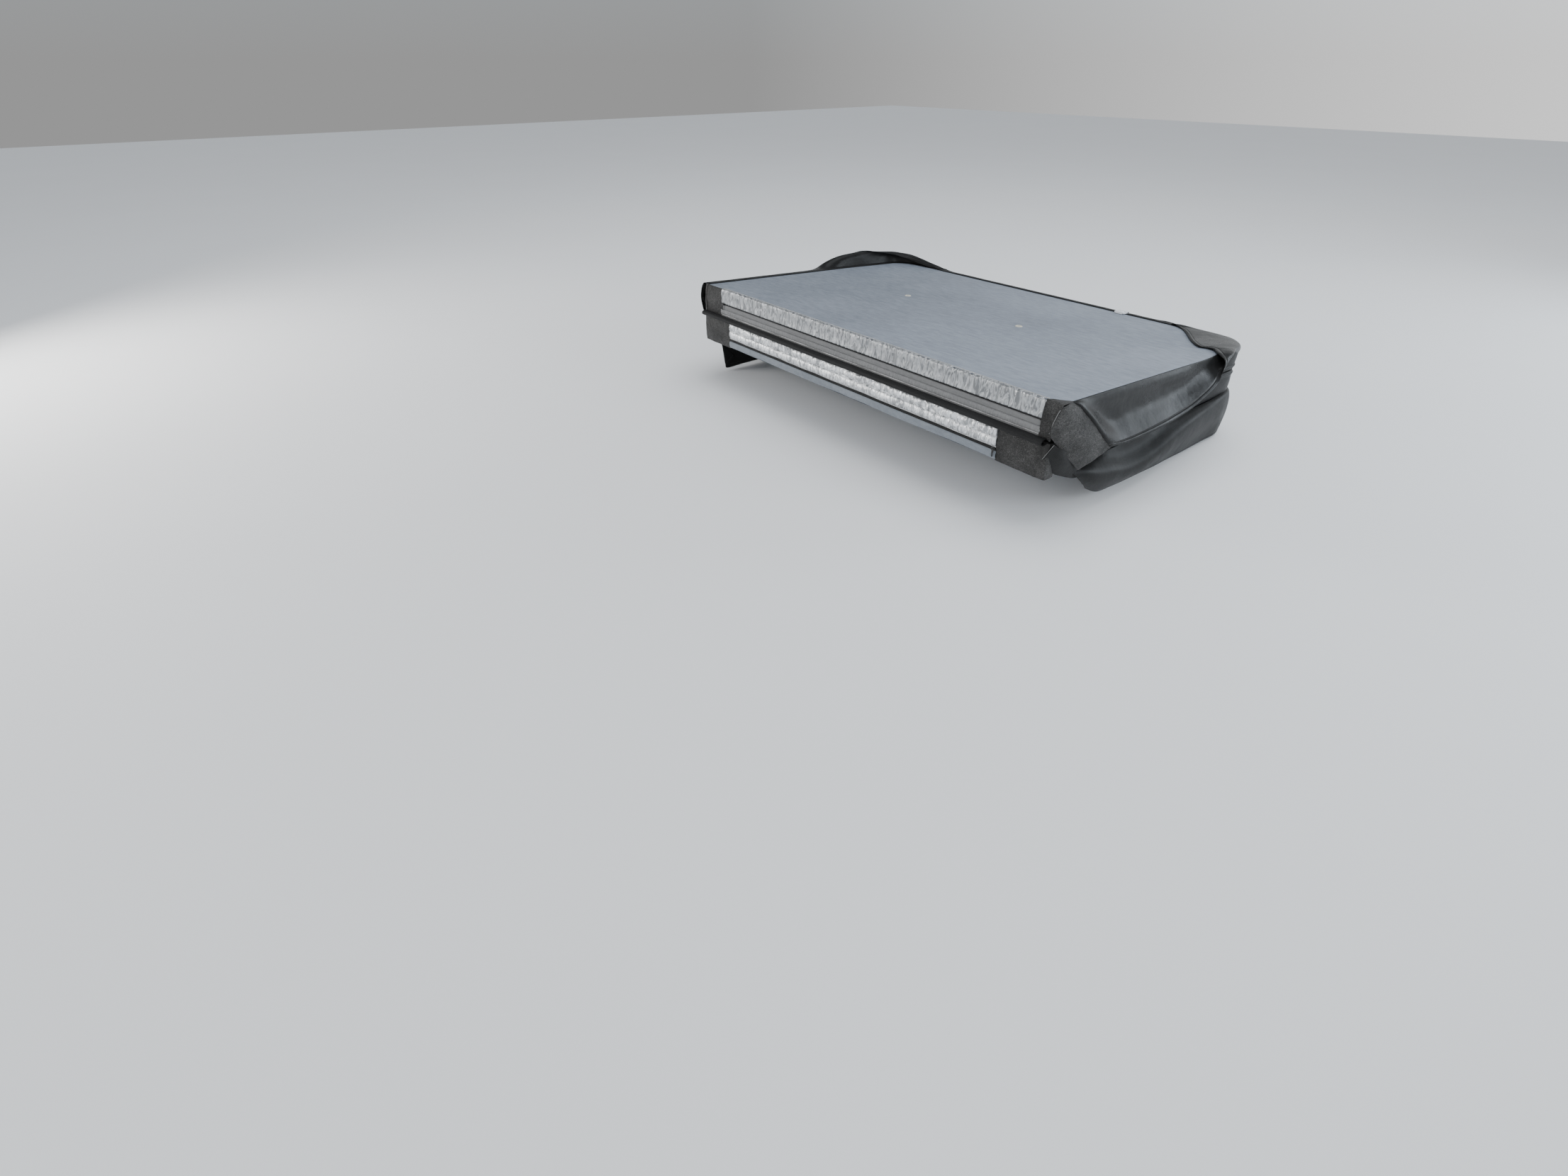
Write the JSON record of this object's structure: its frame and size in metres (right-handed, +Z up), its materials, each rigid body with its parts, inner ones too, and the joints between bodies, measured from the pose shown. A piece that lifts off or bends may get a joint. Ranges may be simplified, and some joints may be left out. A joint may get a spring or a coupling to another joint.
{
  "type": "spa cover",
  "caption": "Folding insulated spa cover, folded in half: two tapered vinyl panels on a fabric hinge, with hanging skirts and a wrinkled silver seal.",
  "frame": {"origin": "centre of the lower panel's underside, where the cover rests on the spa's rim", "axes": "+X along the fold hinge, +Y from the hinge towards the far edge, +Z up, away from the water"},
  "size_m": [1.479, 1.0391, 0.3518],
  "materials": {
    "foam": "white expanded polystyrene beads, matte",
    "steel": "galvanised sheet, dull",
    "film": "clear polyethylene film, slightly milky",
    "vinyl": "black marine vinyl, semi-gloss, fine grain",
    "vinyl_grained": "charcoal marine vinyl with a coarse leather grain",
    "underliner": "blue-grey fine scrim, matte",
    "silver": "metallised silver fabric, wrinkled, shiny",
    "pucker": "grey gathered fabric",
    "webbing": "black woven polyester webbing",
    "zipper_tape": "black woven zipper tape",
    "zipper_coil": "black nylon coil",
    "zipper_metal": "black coated die-cast metal",
    "grommet": "cream moulded plastic",
    "buckle_black": "black acetal",
    "buckle_white": "white acetal"
  },
  "bodies": {
    "lower_panel": {"lower_drain_grommets": "grommet", "lower_end_patch_left": "vinyl_grained", "lower_end_patch_right": "vinyl_grained", "lower_foam_core": "foam", "lower_handle_left": "vinyl", "lower_handle_right": "vinyl", "lower_heat_seal_pillow": "silver", "lower_hinge_liner": "pucker", "lower_hinge_strip": "vinyl", "lower_hinge_webbing": "webbing", "lower_jacket": "vinyl", "lower_skirt_corner_left": "vinyl", "lower_skirt_corner_right": "vinyl", "lower_stiffener_channel": "steel", "lower_underliner": "underliner", "lower_vapor_barrier": "film", "lower_zipper_coil": "zipper_coil", "lower_zipper_tape": "zipper_tape"},
    "upper_panel": {"upper_drain_grommets": "grommet", "upper_end_patch_left": "vinyl_grained", "upper_end_patch_right": "vinyl_grained", "upper_foam_core": "foam", "upper_handle_left": "vinyl", "upper_handle_right": "vinyl", "upper_hinge_liner": "pucker", "upper_hinge_strip": "vinyl", "upper_hinge_webbing": "webbing", "upper_jacket": "vinyl", "upper_pucker_band": "pucker", "upper_silver_strip": "silver", "upper_skirt_corner_left": "vinyl", "upper_skirt_corner_right": "vinyl", "upper_stiffener_channel": "steel", "upper_underliner": "underliner", "upper_vapor_barrier": "film", "upper_zipper_coil": "zipper_coil", "upper_zipper_tape": "zipper_tape"},
    "lower_left_strap": {"lower_buckle_left": "buckle_black", "lower_strap_left": "webbing"},
    "lower_right_strap": {"lower_buckle_right": "buckle_black", "lower_strap_right": "webbing"},
    "lower_far_skirt": {"lower_skirt_far": "vinyl"},
    "lower_left_skirt": {"lower_skirt_left": "vinyl"},
    "lower_right_skirt": {"lower_skirt_right": "vinyl"},
    "lower_pull": {"lower_zipper_pull": "zipper_metal"},
    "lower_slider": {"lower_zipper_slider": "zipper_metal"},
    "upper_far_skirt": {"upper_buckle_left": "buckle_black", "upper_skirt_far": "vinyl", "upper_strap_left": "webbing"},
    "upper_strap": {"upper_buckle_right": "buckle_white", "upper_strap_right": "webbing"},
    "upper_left_skirt": {"upper_skirt_left": "vinyl"},
    "upper_right_skirt": {"upper_skirt_right": "vinyl"},
    "upper_pull": {"upper_zipper_pull": "zipper_metal"},
    "upper_slider": {"upper_zipper_slider": "zipper_metal"}
  },
  "joints": [
    {"name": "fold_hinge", "type": "hinge", "parent": "lower_panel", "child": "upper_panel", "pos_m": [0, -0.512, 0.097], "axis": [1, 0, 0], "range_deg": [0, 183.21]},
    {"name": "upper_right_skirt_swing", "type": "hinge", "parent": "upper_panel", "child": "upper_right_skirt", "pos_m": [0.7285, -0.09522, 0.17079], "axis": [0, -0.9984, 0.056], "range_deg": [0, 180]},
    {"name": "upper_left_skirt_swing", "type": "hinge", "parent": "upper_panel", "child": "upper_left_skirt", "pos_m": [-0.7285, -0.21503, 0.17751], "axis": [0, 0.9984, -0.056], "range_deg": [0, 180]},
    {"name": "upper_far_skirt_swing", "type": "hinge", "parent": "upper_panel", "child": "upper_far_skirt", "pos_m": [0, 0.51532, 0.13658], "axis": [1, 0, 0], "range_deg": [0, 180]},
    {"name": "lower_right_skirt_lift", "type": "hinge", "parent": "lower_panel", "child": "lower_right_skirt", "pos_m": [0.71875, -0.0425, -0.001], "axis": [0, -1, 0], "range_deg": [0, 70]},
    {"name": "lower_left_skirt_lift", "type": "hinge", "parent": "lower_panel", "child": "lower_left_skirt", "pos_m": [-0.71875, -0.0425, -0.001], "axis": [0, 1, 0], "range_deg": [0, 70]},
    {"name": "lower_far_skirt_lift", "type": "hinge", "parent": "lower_panel", "child": "lower_far_skirt", "pos_m": [0, 0.50175, -0.001], "axis": [1, 0, 0], "range_deg": [0, 70]},
    {"name": "lower_right_strap_lift", "type": "hinge", "parent": "lower_far_skirt", "child": "lower_right_strap", "pos_m": [0.3, 0.50425, -0.003], "axis": [1, 0, 0], "range_deg": [0, 70]},
    {"name": "lower_left_strap_lift", "type": "hinge", "parent": "lower_far_skirt", "child": "lower_left_strap", "pos_m": [-0.3, 0.50425, -0.003], "axis": [1, 0, 0], "range_deg": [0, 70]},
    {"name": "upper_strap_flop", "type": "hinge", "parent": "upper_panel", "child": "upper_strap", "pos_m": [0.3, 0.49913, 0.14249], "axis": [-1, 0, 0], "range_deg": [0, 90]},
    {"name": "lower_slider_run", "type": "slide", "parent": "lower_panel", "child": "lower_slider", "axis": [-1, 0, 0], "range_m": [0, 1.14]},
    {"name": "upper_slider_run", "type": "slide", "parent": "upper_panel", "child": "upper_slider", "axis": [1, 0, 0], "range_m": [0, 1.29]},
    {"name": "lower_pull_swing", "type": "hinge", "parent": "lower_slider", "child": "lower_pull", "pos_m": [0.57, -0.5086, 0.027], "axis": [1, 0, 0], "range_deg": [-100, 0]},
    {"name": "upper_pull_swing", "type": "hinge", "parent": "upper_slider", "child": "upper_pull", "pos_m": [-0.61, -0.50586, 0.14573], "axis": [1, 0, 0], "range_deg": [-170, 0]}
  ],
  "couplings": [
    {"joint": "upper_right_skirt_swing", "follows": "fold_hinge", "ratio": 0.9716},
    {"joint": "upper_left_skirt_swing", "follows": "fold_hinge", "ratio": 0.9716},
    {"joint": "upper_far_skirt_swing", "follows": "fold_hinge", "ratio": 0.9716}
  ]
}
